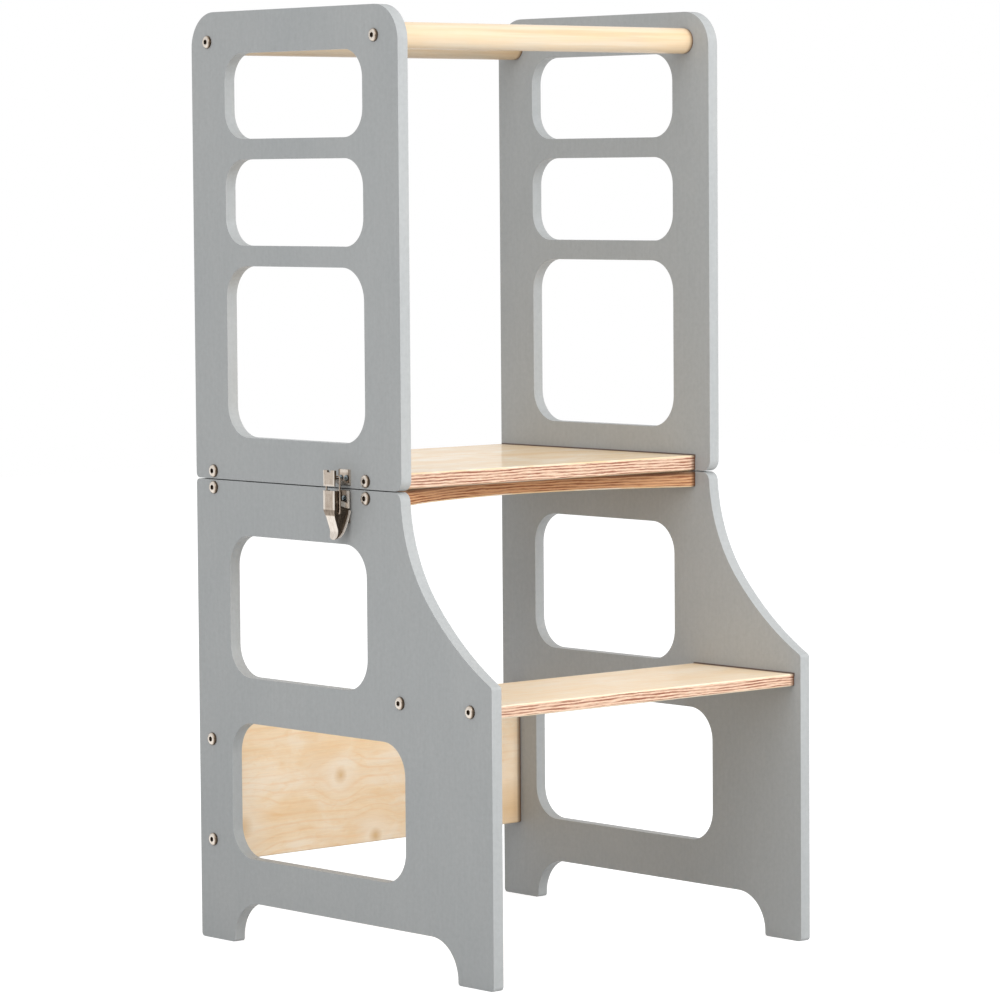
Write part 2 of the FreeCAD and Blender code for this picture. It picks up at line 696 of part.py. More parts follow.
def build():
    pieces = {
        "upper_platform": platform(True),
        "lower_platform": platform(False),
        "step_board": step_board(),
        "back_panel": back_panel(),
        "upper_hinge_screws": hinge_screws(True),
        "lower_hinge_screws": hinge_screws(False),
    }
    for name, distance in RAILS_AHEAD.items():
        pieces[name] = rail(distance)
    for name in ("rail", "upper_platform", "lower_platform", "step", "back_panel"):
        pieces[name + "_screws"] = side_screws(name + "_screws")
    for word, side in (("left", -1), ("right", 1)):
        pieces["upper_hinge_leaf_" + word] = hinge_leaf(True, side)
        pieces["lower_hinge_leaf_" + word] = hinge_leaf(False, side)
        pieces["hinge_pin_" + word] = hinge_pin(side)
    for name, shape in pairs().items():
        pieces[name + "_left"] = shape
        pieces[name + "_right"] = mirrored(shape)
    return pieces


def main():
    os.makedirs("parts", exist_ok=True)
    whole = FreeCAD.BoundBox()
    for name, shape in sorted(build().items()):
        shape.exportStep("parts/" + name + ".step")
        whole.add(shape.optimalBoundingBox(False, False))
        print(f"{name:26s} solids {len(shape.Solids):2d} volume {shape.Volume:10.1f}", shape.isValid())
    low = (whole.XMin, whole.YMin, whole.ZMin)
    high = (whole.XMax, whole.YMax, whole.ZMax)
    print("box", [round(v, 2) for v in low], [round(v, 2) for v in high])


main()
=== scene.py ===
import json
import math
from types import SimpleNamespace

import bmesh
import bpy
from mathutils import Matrix, Vector

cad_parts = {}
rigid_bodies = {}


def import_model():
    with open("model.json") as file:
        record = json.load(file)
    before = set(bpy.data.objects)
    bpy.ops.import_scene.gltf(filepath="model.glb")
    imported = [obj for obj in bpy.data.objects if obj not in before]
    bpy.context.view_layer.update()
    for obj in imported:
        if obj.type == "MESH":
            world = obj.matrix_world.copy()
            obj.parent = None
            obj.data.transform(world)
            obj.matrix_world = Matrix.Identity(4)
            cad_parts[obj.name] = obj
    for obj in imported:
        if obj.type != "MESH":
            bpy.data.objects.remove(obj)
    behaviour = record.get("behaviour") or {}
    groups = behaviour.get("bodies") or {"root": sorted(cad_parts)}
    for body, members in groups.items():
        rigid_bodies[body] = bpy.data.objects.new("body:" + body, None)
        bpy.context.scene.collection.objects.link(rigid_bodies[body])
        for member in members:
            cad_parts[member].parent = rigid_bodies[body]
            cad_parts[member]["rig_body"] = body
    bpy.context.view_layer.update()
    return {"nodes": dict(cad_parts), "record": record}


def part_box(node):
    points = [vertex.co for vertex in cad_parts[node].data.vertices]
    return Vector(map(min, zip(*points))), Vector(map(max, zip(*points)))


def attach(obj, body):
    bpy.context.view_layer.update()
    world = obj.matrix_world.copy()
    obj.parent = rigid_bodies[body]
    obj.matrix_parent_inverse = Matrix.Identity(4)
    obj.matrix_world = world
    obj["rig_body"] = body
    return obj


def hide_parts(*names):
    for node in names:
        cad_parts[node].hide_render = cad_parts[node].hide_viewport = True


# Looks of the toddler's kitchen tower: grey painted sides, clear lacquered birch
# plywood boards, pale wooden rails, and plated screws, latches and hinges.
# Metres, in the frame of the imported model: -Y is the step side, +Z is up.

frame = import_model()

MM = 0.001
TO_MM = 1000.0
WHITE = (1.0, 1.0, 1.0)
UP = Vector((0.0, 0.0, 1.0))
HANDS = {"left": -1, "right": 1}     # and which way they lie along X

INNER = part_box("step_board")[1].x             # inner faces of the sides
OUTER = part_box("lower_side_right")[1].x       # outer faces of the sides
SPLIT = (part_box("upper_platform")[0].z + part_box("lower_platform")[1].z) / 2
LATCH_MIDDLE = sum(corner.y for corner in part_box("latch_lever_left")) / 2


# ---------------------------------------------------------------- shared helpers


def add_object(name, data):
    """A new object in the scene with the given mesh, camera or lamp."""
    made = bpy.data.objects.new(name, data)
    bpy.context.scene.collection.objects.link(made)
    return made


def tube_faces(start, rings, corners):
    """Faces between rings of vertices that follow each other from a first vertex on."""
    faces = []
    for low in range(start, start + (rings - 1) * corners, corners):
        for i in range(corners):
            j = (i + 1) % corners
            faces.append((low + i, low + j, low + corners + j, low + corners + i))
    return faces


def add_bevel(piece, width, angle):
    """Rounds the edges of a piece that are sharper than an angle."""
    bevel = piece.modifiers.new("ease", "BEVEL")
    bevel.width = width
    bevel.segments = 2
    bevel.limit_method = "ANGLE"
    bevel.angle_limit = angle


# ---------------------------------------------------------------- camera

CAMERA_PLACE = Vector((-2.8951, -3.2844, 0.7394))
CAMERA_AZIMUTH = math.radians(-41.4)
CAMERA_ELEVATION = math.radians(4.07)
CAMERA_ROLL = math.radians(-0.42)
SENSOR = 36.0
FOCAL_LENGTH = 163.15
CLIP_START = 0.1
CLIP_END = 100.0


def add_camera():
    """The photograph's viewpoint, a long lens slightly above the middle of the tower."""
    data = bpy.data.cameras.new("camera")
    data.sensor_width = SENSOR
    data.lens = FOCAL_LENGTH
    data.clip_start = CLIP_START
    data.clip_end = CLIP_END
    camera = add_object("camera", data)
    turn, tilt, roll = CAMERA_AZIMUTH, CAMERA_ELEVATION, CAMERA_ROLL
    back = Vector((math.sin(turn) * math.cos(tilt), -math.cos(turn) * math.cos(tilt), math.sin(tilt)))
    right = Vector((math.cos(turn), math.sin(turn), 0.0))
    up = back.cross(right)
    rolled_right = right * math.cos(roll) + up * math.sin(roll)
    rolled_up = up * math.cos(roll) - right * math.sin(roll)
    columns = Matrix((rolled_right, rolled_up, back)).transposed()
    camera.matrix_world = Matrix.Translation(CAMERA_PLACE) @ columns.to_4x4()
    bpy.context.scene.camera = camera


# ---------------------------------------------------------------- world, floor and lamps

WORLD_LIGHT = 0.62           # on the object; the camera sees a strength of 1
FLOOR_HALF = 6.0
FLOOR_COLOUR = (0.62, 0.62, 0.62)
FLOOR_ROUGHNESS = 0.9
FLOOR_GLOW = 0.71            # what the lamps leave to reach white

LAMP_AIM = Vector((0.0, 0.0, 0.42))      # near the middle of the tower
SOFTBOXES = (    # name, place, width and watts
    ("front_box", (0.5, -2.8, 1.5), 2.0, 61.0),
    ("left_box", (-3.2, -0.9, 2.0), 2.0, 26.0),
    ("top_box", (-0.3, -0.7, 3.0), 1.8, 12.0),
)


def seen_directly(tree):
    """A value that is 1 for what the camera sees straight or in gloss or glass, else 0."""
    path = tree.nodes.new("ShaderNodeLightPath")
    total = path.outputs["Is Camera Ray"]
    for name in ("Is Glossy Ray", "Is Transmission Ray"):
        either = tree.nodes.new("ShaderNodeMath")
        either.operation = "MAXIMUM"
        tree.links.new(total, either.inputs[0])
        tree.links.new(path.outputs[name], either.inputs[1])
        total = either.outputs[0]
    return total


def add_world():
    """A white surround for the camera, and an even, dimmer light on the object."""
    world = bpy.data.worlds.new("studio")
    bpy.context.scene.world = world
    world.use_nodes = True
    tree = world.node_tree
    background = tree.nodes["Background"]
    background.inputs["Color"].default_value = (*WHITE, 1.0)
    strength = tree.nodes.new("ShaderNodeMapRange")
    strength.inputs["To Min"].default_value = WORLD_LIGHT
    strength.inputs["To Max"].default_value = 1.0
    tree.links.new(seen_directly(tree), strength.inputs["Value"])
    tree.links.new(strength.outputs["Result"], background.inputs["Strength"])


def floor_material():
    """Pale and dull. What the camera sees of it, also in gloss or glass, glows to white."""
    material = bpy.data.materials.new("floor")
    material.use_nodes = True
    tree = material.node_tree
    surface = tree.nodes["Principled BSDF"]
    surface.inputs["Base Color"].default_value = (*FLOOR_COLOUR, 1.0)
    surface.inputs["Roughness"].default_value = FLOOR_ROUGHNESS
    surface.inputs["Specular IOR Level"].default_value = 0.0
    surface.inputs["Emission Color"].default_value = (*WHITE, 1.0)
    glow = tree.nodes.new("ShaderNodeMath")
    glow.operation = "MULTIPLY"
    glow.inputs[1].default_value = FLOOR_GLOW
    tree.links.new(seen_directly(tree), glow.inputs[0])
    tree.links.new(glow.outputs[0], surface.inputs["Emission Strength"])
    return material


def add_floor():
    """A pale floor that shows white round the object and keeps its shadow."""
    mesh = bpy.data.meshes.new("floor")
    half = FLOOR_HALF
    corners = [(-half, -half, 0), (half, -half, 0), (half, half, 0), (-half, half, 0)]
    mesh.from_pydata(corners, [], [(0, 1, 2, 3)])
    mesh.materials.append(floor_material())
    floor = add_object("floor", mesh)


def add_lamps():
    """Soft square lamps that face the middle of the tower."""
    for name, place, width, watts in SOFTBOXES:
        data = bpy.data.lights.new(name, "AREA")
        data.shape = "SQUARE"
        data.size = width
        data.energy = watts
        lamp = add_object(name, data)
        lamp.location = place
        lamp.rotation_mode = "QUATERNION"
        lamp.rotation_quaternion = (LAMP_AIM - Vector(place)).to_track_quat("-Z", "Y")


# ---------------------------------------------------------------- shader helper

# Sockets of a Mix node by number, because its colours and its values share their names.
COLOUR_A, COLOUR_B, COLOUR_RESULT = 6, 7, 2
VALUE_A, VALUE_B, VALUE_RESULT = 2, 3, 0

# Most of a noise lies between the first two values, and nearly all between the others.
MOST = (0.3, 0.7)
NEARLY_ALL = (0.25, 0.75)


class Shader:
    """One procedural material, built node by node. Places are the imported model's own
    metres, so patterns stay on their piece when it moves."""

    def __init__(self, name):
        self.material = bpy.data.materials.new(name)
        self.material.use_nodes = True
        self.tree = self.material.node_tree
        self.surface = self.tree.nodes["Principled BSDF"]
        coordinates = self.node("ShaderNodeTexCoord")
        self.place = coordinates.outputs["Object"]
        self.normal = coordinates.outputs["Normal"]

    def node(self, kind, **settings):
        made = self.tree.nodes.new(kind)
        for name, value in settings.items():
            setattr(made, name, value)
        return made

    def put(self, socket, value):
        """Links a socket to another node's output, or sets its own value."""
        if isinstance(value, bpy.types.NodeSocket):
            self.tree.links.new(value, socket)
        elif isinstance(value, (tuple, list)) and len(value) == 3 and socket.type == "RGBA":
            socket.default_value = (*value, 1.0)
        else:
            socket.default_value = value

    def calc(self, operation, a, b=0.0):
        made = self.node("ShaderNodeMath", operation=operation)
        self.put(made.inputs[0], a)
        self.put(made.inputs[1], b)
        return made.outputs[0]

    def add(self, a, b):
        return self.calc("ADD", a, b)

    def less(self, a, b):
        return self.calc("SUBTRACT", a, b)

    def times(self, a, b):
        return self.calc("MULTIPLY", a, b)

    def absolute(self, a):
        return self.calc("ABSOLUTE", a)

    def axes(self, vector=None):
        """The three numbers of a vector, or of the place."""
        made = self.node("ShaderNodeSeparateXYZ")
        self.put(made.inputs[0], vector or self.place)
        return made.outputs

    def joined(self, x, y, z):
        made = self.node("ShaderNodeCombineXYZ")
        for socket, value in zip(made.inputs, (x, y, z)):
            self.put(socket, value)
        return made.outputs[0]

    def distance(self, a, b):
        made = self.node("ShaderNodeVectorMath", operation="DISTANCE")
        self.put(made.inputs[0], a)
        self.put(made.inputs[1], b)
        return made.outputs["Value"]

    def stretched(self, scale, offset=(0.0, 0.0, 0.0), place=None):
        made = self.node("ShaderNodeMapping")
        self.put(made.inputs["Vector"], place or self.place)
        self.put(made.inputs["Scale"], scale)
        self.put(made.inputs["Location"], offset)
        return made.outputs["Vector"]

    def noise(self, place, scale, detail, roughness, distortion=0.0):
        made = self.node("ShaderNodeTexNoise")
        self.put(made.inputs["Vector"], place)
        self.put(made.inputs["Scale"], scale)
        self.put(made.inputs["Detail"], detail)
        self.put(made.inputs["Roughness"], roughness)
        self.put(made.inputs["Distortion"], distortion)
        return made.outputs["Fac"]

    def cells(self, counts, detail, roughness, distortion=0.0, **spot):
        """Noise with about so many cells per metre along each axis. Spot may hold another
        place, or an offset."""
        return self.noise(self.stretched(counts, **spot), 1.0, detail, roughness, distortion)

    def span(self, value, low, high, to_low=0.0, to_high=1.0):
        made = self.node("ShaderNodeMapRange")
        self.put(made.inputs["Value"], value)
        self.put(made.inputs["From Min"], low)
        self.put(made.inputs["From Max"], high)
        self.put(made.inputs["To Min"], to_low)
        self.put(made.inputs["To Max"], to_high)
        return made.outputs["Result"]

    def spread(self, noise, to_low, to_high, usual=MOST):
        """A noise's usual range, spread over another one."""
        return self.span(noise, *usual, to_low, to_high)

    def window(self, value, low, high, soft):
        """1 between low and high, and 0 outside, with soft borders."""
        risen = self.span(value, low - soft, low + soft)
        return self.times(risen, self.span(value, high - soft, high + soft, 1.0, 0.0))

    def ramp(self, value, *stops):
        """A colour ramp from (position, colour) stops."""
        made = self.node("ShaderNodeValToRGB")
        self.put(made.inputs["Fac"], value)
        elements = made.color_ramp.elements
        while len(elements) < len(stops):
            elements.new(0.5)
        for element, (position, colour) in zip(elements, stops):
            element.position = position
            element.color = (*colour, 1.0)
        return made.outputs["Color"]

    def mix(self, factor, a, b, blend="MIX"):
        made = self.node("ShaderNodeMix", data_type="RGBA", blend_type=blend)
        self.put(made.inputs["Factor"], factor)
        self.put(made.inputs[COLOUR_A], a)
        self.put(made.inputs[COLOUR_B], b)
        return made.outputs[COLOUR_RESULT]

    def shade(self, colour, by):
        """A colour times a value or a tint."""
        return self.mix(1.0, colour, by, "MULTIPLY")

    def layered(self, start, *layers):
        """A tone that each (mask, tone) layer in turn paints over."""
        for mask, tone in layers:
            step = self.node("ShaderNodeMix", data_type="FLOAT")
            self.put(step.inputs["Factor"], mask)
            self.put(step.inputs[VALUE_A], start)
            self.put(step.inputs[VALUE_B], tone)
            start = step.outputs[VALUE_RESULT]
        return start

    def bump(self, height, distance, strength):
        made = self.node("ShaderNodeBump")
        self.put(made.inputs["Height"], height)
        self.put(made.inputs["Distance"], distance)
        self.put(made.inputs["Strength"], strength)
        self.put(self.surface.inputs["Normal"], made.outputs["Normal"])

    def finish(self, colour, roughness, **fixed):
        """Sets the surface and gives the material. Fixed values are the same all over."""
        self.put(self.surface.inputs["Base Color"], colour)
        self.put(self.surface.inputs["Roughness"], roughness)
        for name, value in fixed.items():
            self.surface.inputs[name.replace("_", " ")].default_value = value
        return self.material


# ---------------------------------------------------------------- grey paint

PAINT_DARK = (0.410, 0.427, 0.431)
PAINT_LIGHT = (0.432, 0.446, 0.447)
# Painted shade: below this height the paint is drawn a little darker towards the floor.
FOOT_SHADE = 300 * MM        # the paint is a little darker below this height
# Painted contact shadow, where two pieces meet and shade each other.
CONTACT_SHADOW = (0.10, 0.04, 0.02)   # where two boards meet


def joint_lines(s, colour):
    """Painted contact shadows: dark lines on the inner faces of the sides, just above the boards they
    carry.
    """
    x, y, z = s.axes()
    inside = s.span(s.absolute(x), INNER + 0.4 * MM, INNER + 0.2 * MM)
    for name in ("upper_platform", "step_board"):
        low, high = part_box(name)
        over = s.span(z, high.z + 0.6 * MM, high.z + 1.3 * MM, 0.85, 0.0)
        over = s.times(over, s.span(z, high.z - 3 * MM, high.z - 2 * MM))
        behind_front = s.span(y, low.y - 1 * MM, low.y)
        along = s.times(behind_front, s.span(y, high.y, high.y + 1 * MM, 1.0, 0.0))
        colour = s.mix(s.times(s.times(over, along), inside), colour, CONTACT_SHADOW)
    return colour


def grey_paint():
    """Satin grey paint, rolled on plywood: a faint stipple, and the grain under it."""
    s = Shader("grey_paint")
    cloud = s.noise(s.stretched((1.0, 1.0, 0.6)), 9.0, 4.0, 0.6)
    mottle = s.noise(s.place, 230.0, 4.0, 0.65)
    fibre = s.cells((600.0, 420.0, 26.0), 3.0, 0.6)
    stipple = s.noise(s.place, 1400.0, 2.0, 0.5)
    height = s.axes()[2]
    colour = s.ramp(cloud, (0.35, PAINT_DARK), (0.65, PAINT_LIGHT))
    colour = s.shade(colour, s.spread(mottle, 0.955, 1.045))
    colour = s.shade(colour, s.spread(fibre, 0.98, 1.02))
    # Painted shade, a little darker towards the feet.
    colour = s.shade(colour, s.span(height, 0.0, FOOT_SHADE, 0.93, 1.0))
    # Painted contact shadows on the sides, just above the boards.
    colour = joint_lines(s, colour)
    s.bump(s.add(stipple, s.times(fibre, 0.7)), 0.08 * MM, 0.6)
    return s.finish(colour, s.spread(stipple, 0.42, 0.56), Specular_IOR_Level=0.4)


# ---------------------------------------------------------------- wood

PALE = (0.93, 0.80, 0.63)
STRAW = (0.92, 0.73, 0.49)
HONEY = (0.86, 0.60, 0.33)
CREAM = (0.94, 0.85, 0.72)
LINE = (0.84, 0.53, 0.24)
KNOT = (0.66, 0.41, 0.15)

GROWTH_LINES = 105.0         # per metre across a board
LINE_SWAY = 7.5              # how many lines' width they wander by

PLY = 1.36 * MM              # thickness of one layer
DARK_PLY = ((0.3, (0.20, 0.06, 0.032)), (0.7, (0.42, 0.18, 0.11)))
LIGHT_PLY = ((0.3, (0.70, 0.43, 0.28)), (0.7, (0.94, 0.74, 0.58)))
# Browner plies, for painted shade.
SHADED_LIGHT_PLY = (0.58, 0.29, 0.12)
SHADED_DARK_PLY = (0.26, 0.095, 0.035)
# Painted contact shadow at the ends of boards and rails.
JOINT_SHADE = 5.5 * MM       # how far the dark of a joint reaches along a board

RAIL_TONES = (
    (0.34, (0.80, 0.685, 0.53)), (0.50, (0.775, 0.635, 0.46)), (0.66, (0.70, 0.52, 0.335)),
)
# Painted shade near the sides: rails turn darker and more yellow towards their ends.
RAIL_END = 60 * MM           # a rail turns more yellow over this length at its ends


def veneer_colour(s, along, across, seed, deep, knots):
    """Rotary-cut birch: soft bands, thin growth lines that wander along the board, fine
    fibres and the given knots. Along and across are values in metres on the face, and
    deep is how strongly the grain is coloured."""
    face = s.joined(along, across, seed)
    sway = s.cells((3.2, 6.0, 1.0), 3.0, 0.45, place=face)
    patches = s.cells((16.0, 30.0, 5.0), 4.0, 0.6, 0.6, place=face)
    bands = s.cells((5.0, 30.0, 3.0), 3.0, 0.55, 0.8, place=face)
    fibres = s.cells((40.0, 1300.0, 1.0), 3.0, 0.6, place=face)
    figure = s.cells((55.0, 150.0, 7.0), 4.0, 0.6, 1.0, place=face)
    clear = s.span(s.cells((9.0, 34.0, 2.0), 2.0, 0.5, place=face), 0.36, 0.62)

    phase = s.add(s.times(across, GROWTH_LINES), s.times(sway, LINE_SWAY))
    spots = []
    for knot_along, knot_across, radius, strength in knots:
        away = s.distance(face, (knot_along, knot_across, seed))
        ragged = s.add(away, s.times(s.less(patches, 0.5), radius))
        beside = s.calc("DIVIDE", s.less(across, knot_across), radius)
        push = s.times(beside, s.span(away, 0.0, 3.2 * radius, 1.6, 0.0))
        phase = s.less(phase, push)
        spots.append((ragged, radius, strength))
    line = s.span(s.calc("PINGPONG", phase, 0.5), 0.0, 0.2, 1.0, 0.0)

    colour = s.ramp(bands, (0.38, PALE), (0.52, STRAW), (0.72, HONEY))
    colour = s.mix(1.0 - deep, colour, PALE)
    colour = s.mix(s.span(patches, 0.42, 0.66, 0.0, 0.75 * deep), colour, HONEY)
    colour = s.mix(s.span(patches, 0.48, 0.34, 0.0, 0.8 * deep), colour, CREAM)
    colour = s.mix(s.span(figure, 0.50, 0.72, 0.0, 0.7 * deep), colour, HONEY)
    colour = s.mix(s.times(s.times(line, clear), 0.7 * deep), colour, LINE)
    for ragged, radius, strength in spots:
        halo = s.span(ragged, radius, 2.6 * radius, 0.8 * strength, 0.0)
        colour = s.mix(halo, colour, CREAM)
        heart = s.span(ragged, 0.15 * radius, 0.9 * radius, strength, 0.0)
        colour = s.mix(heart, colour, KNOT)
    colour = s.shade(colour, s.spread(fibres, 0.95, 1.035, NEARLY_ALL))
    return colour, bands, fibres


def sawn_plies(s, level, seed, shade_browning):
    """Light and dark layers with ragged borders that wander. Level counts the layers through the board,
    and the last value browns them as painted shade."""
    spot = {"offset": (seed, 0.0, 0.0)}
    slow = s.cells((13.0, 13.0, 60.0), 2.0, 0.5, **spot)
    quick = s.cells((75.0, 75.0, 300.0), 3.0, 0.6, **spot)
    breaks = s.cells((30.0, 30.0, 900.0), 2.0, 0.6, **spot)
    end_grain = s.cells((110.0, 110.0, 1700.0), 4.0, 0.7, **spot)
    wander = s.add(s.spread(slow, -0.8, 0.8, NEARLY_ALL), s.spread(quick, -0.35, 0.35, NEARLY_ALL))
    cross = s.calc("PINGPONG", s.add(level, wander), 1.0)
    streak = s.times(s.span(cross, 0.30, 0.62), s.span(breaks, 0.36, 0.56, 0.2, 1.0))
    plain = s.mix(streak, s.ramp(end_grain, *LIGHT_PLY), s.ramp(end_grain, *DARK_PLY))
    # Painted shade: browner plies.
    return s.mix(shade_browning, plain, s.mix(streak, SHADED_LIGHT_PLY, SHADED_DARK_PLY))


def board_joints(s, colour, half_length, seam_shadow_reach):
    """Painted contact shadows darken a board's ends, where it meets the sides, and painted shade darkens
    its edges within a reach of the split between the two sections."""
    x, _, z = s.axes()
    # Painted contact shadow at the board's ends.
    end = s.span(s.absolute(x), half_length - JOINT_SHADE, half_length)
    colour = s.mix(s.calc("POWER", end, 0.75), colour, CONTACT_SHADOW)
    # Painted shade along the edges near the split, where the upper platform shades the lower.
    away = s.absolute(s.less(z, SPLIT))
    upright = s.span(s.absolute(s.axes(s.normal)[2]), 0.97, 0.8)
    seam = s.times(s.span(away, 0.4 * seam_shadow_reach, seam_shadow_reach, 0.85, 0.0), upright)
    return s.mix(seam, colour, CONTACT_SHADOW)


def plywood(name, thickness_axis, seed, coat, coat_roughness=0.14, deep=1.0, shade_browning=0.0,
            tint=WHITE, knots=(), seam_shadow_reach=2 * MM):
    """Clear lacquered birch plywood. The plies are solid layers through the board, so
    that the eased edges cut through them as on a sawn sheet."""
    s = Shader(name)
    low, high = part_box(name)
    x, y, z = s.axes()
    depth = (x, y, z)[thickness_axis]
    across = y if thickness_axis == 2 else z
    face, bands, fibres = veneer_colour(s, x, across, seed, deep, knots)
    thickness = high[thickness_axis] - low[thickness_axis]
    plies = round(thickness / PLY)
    level = s.calc("DIVIDE", s.less(depth, low[thickness_axis]), thickness / plies)
    core = sawn_plies(s, level, seed, shade_browning)
    first = s.span(level, 0.85, 1.0, 1.0, 0.0)
    last = s.span(level, plies - 1.0, plies - 0.85)
    # A board's tint: for the back panel partly its own warmer veneer, partly painted light.
    colour = s.mix(s.calc("MAXIMUM", first, last), core, s.shade(face, tint))
    # Painted contact shadows at the ends, and painted shade along the split.
    colour = board_joints(s, colour, high.x, seam_shadow_reach)
    s.bump(s.add(s.times(fibres, 0.6), s.times(bands, 0.4)), 0.04 * MM, 0.4)
    return s.finish(
        colour, s.spread(fibres, 0.5, 0.6), Specular_IOR_Level=0.1,
        Coat_Weight=coat, Coat_Roughness=coat_roughness,
    )


def rail_wood(name, seed, light=1.0):
    """A pale turned rail with straight grain along it."""
    s = Shader(name)
    shifted = s.stretched((1.0, 1.0, 1.0), offset=(seed, 0.0, 0.0))
    rings = s.cells((3.5, 150.0, 150.0), 3.0, 0.6, place=shifted)
    patches = s.cells((14.0, 60.0, 60.0), 3.0, 0.6, place=shifted)
    fibres = s.cells((16.0, 1500.0, 1500.0), 3.0, 0.6, place=shifted)
    colour = s.ramp(rings, *RAIL_TONES)
    colour = s.mix(s.span(patches, 0.42, 0.68, 0.0, 0.35), colour, HONEY)
    # A light below 1 darkens the rail as painted shade.
    colour = s.shade(colour, s.spread(fibres, 0.94 * light, 1.04 * light, NEARLY_ALL))
    from_middle = s.absolute(s.axes()[0])
    # Painted shade towards the ends, and a painted contact shadow at each end.
    colour = s.mix(s.span(from_middle, INNER - RAIL_END, INNER, 0.0, 0.4), colour, HONEY)
    end = s.span(from_middle, INNER - JOINT_SHADE, INNER)
    colour = s.mix(s.calc("POWER", end, 1.5), colour, CONTACT_SHADOW)
    s.bump(fibres, 0.05 * MM, 0.5)
    return s.finish(colour, s.spread(fibres, 0.3, 0.42), Specular_IOR_Level=0.4)


# ---------------------------------------------------------------- plated steel

# Nickel tones run from a painted dark brown, for shade and dark reflections, to a painted highlight, and
# zinc is bluer.
NICKEL_TONES = (
    (0.0, (0.035, 0.022, 0.013)), (0.3, (0.13, 0.10, 0.075)), (0.6, (0.40, 0.33, 0.27)),
    (0.8, (0.56, 0.49, 0.42)), (1.0, (0.76, 0.70, 0.63)),
)
ZINC_TONES = (
    (0.0, (0.03, 0.03, 0.03)), (0.4, (0.13, 0.15, 0.16)), (0.7, (0.27, 0.33, 0.36)),
    (1.0, (0.62, 0.68, 0.72)),
)


def plated(name, tone_of, tones=NICKEL_TONES, rough_low=0.2, rough_high=0.34, metallic=1.0):
    """Plated steel with faint smears. Tone_of takes the shader and gives the tone at each place, from 0,
    painted shade and dark reflection, to 1, a painted highlight."""
    s = Shader(name)
    smear = s.cells((420.0, 420.0, 110.0), 4.0, 0.6)
    scratch = s.cells((1800.0, 1800.0, 260.0), 2.0, 0.6)
    tone = s.add(tone_of(s), s.spread(smear, -0.09, 0.09))
    s.bump(scratch, 0.006 * MM, 0.3)
    return s.finish(s.ramp(tone, *tones), s.spread(smear, rough_low, rough_high), Metallic=metallic)


def outer_place(s):
    """Where a point on the outside of the tower is: millimetres out from the side, along
    it from the latch's middle and up from the floor. Also how much its surface faces
    outwards, and whether it is a flank, which faces along the side."""
    x, y, z = s.axes()
    facing = s.axes(s.normal)
    return SimpleNamespace(
        out=s.times(s.less(s.absolute(x), OUTER), TO_MM),
        along=s.absolute(s.times(s.less(y, LATCH_MIDDLE), TO_MM)),
        up=s.times(z, TO_MM),
        facing_out=s.absolute(facing[0]),
        flank=s.span(s.absolute(facing[1]), 0.45, 0.75),
    )


# Below, borders are in the millimetres of outer_place, and a tone runs from 0, painted shade and dark
# reflection, to 1, a painted highlight.


def lever_tone(s):
    """Painted highlights on the tip and rims, a duller panel between them, painted dark reflections on the
    bend and flanks, and painted shade on the sheet's edges.
    """
    at = outer_place(s)
    panel = s.times(s.window(at.up, 433.0, 446.0, 0.6), s.span(at.along, 4.0, 4.8, 1.0, 0.0))
    rim = s.times(s.span(at.along, 5.6, 6.6), s.span(at.up, 430.5, 431.5))
    bend = s.window(at.up, 425.6, 431.0, 0.5)
    tip = s.span(at.up, 425.8, 424.6)
    sheet_edge = s.span(at.facing_out, 0.3, 0.1)
    # Painted highlights, dark reflections and shade, layered.
    return s.layered(
        0.72, (rim, 0.95), (panel, 0.64), (bend, 0.44), (tip, 0.93), (at.flank, 0.15),
        (sheet_edge, 0.2),
    )


def catch_tone(s):
    """A lip and a plate with painted highlights on the lip's rims and foot and on the plate's top, painted
    shade on the plate's edge and under the hook, and painted dark reflections on the flanks.
    """
    at = outer_place(s)
    lip = s.span(at.out, 16.0, 17.0)
    lip_rim = s.times(lip, s.span(at.along, 6.6, 7.3))
    lip_foot = s.times(lip, s.span(at.up, 455.2, 454.4))
    plate = s.span(at.out, 2.2, 1.8)
    plate_top = s.times(plate, s.span(at.up, 464.5, 466.0))
    plate_edge = s.times(plate, s.span(at.along, 5.8, 6.6))
    under_hook = s.times(plate, s.span(at.up, 458.0, 455.5))
    flank_foot = s.times(at.flank, s.span(at.out, 5.0, 3.0))
    painted_flank_tone = s.span(at.out, 13.0, 16.0, 0.55, 0.18)
    # Painted highlights, shade and dark reflections, layered.
    return s.layered(
        0.71, (lip_rim, 0.95), (lip_foot, 0.9), (plate_top, 0.88), (plate_edge, 0.36),
        (under_hook, 0.2), (at.flank, painted_flank_tone), (flank_foot, 0.85),
    )


def base_tone(s):
    """Painted shade behind the lever, deeper lower down, painted dark reflections on the flanks, and
    painted highlights on the edges of its flanges.
    """
    at = outer_place(s)
    low_down = s.span(at.up, 440.0, 424.0)
    painted_flank_tone = s.span(at.out, 3.2, 4.2, 0.5, 0.2)
    flange = s.times(s.span(at.out, 2.6, 3.2), s.span(at.along, 5.4, 5.8))
    # Painted shade, dark reflections and highlights, layered.
    return s.layered(0.36, (low_down, 0.2), (at.flank, painted_flank_tone), (flange, 0.92))


def wire_tone(s):
    """Round wire and pins, with a painted dark reflection on the side of the step."""
    return s.span(s.axes(s.normal)[1], -0.9, -0.2, 0.35, 0.74)


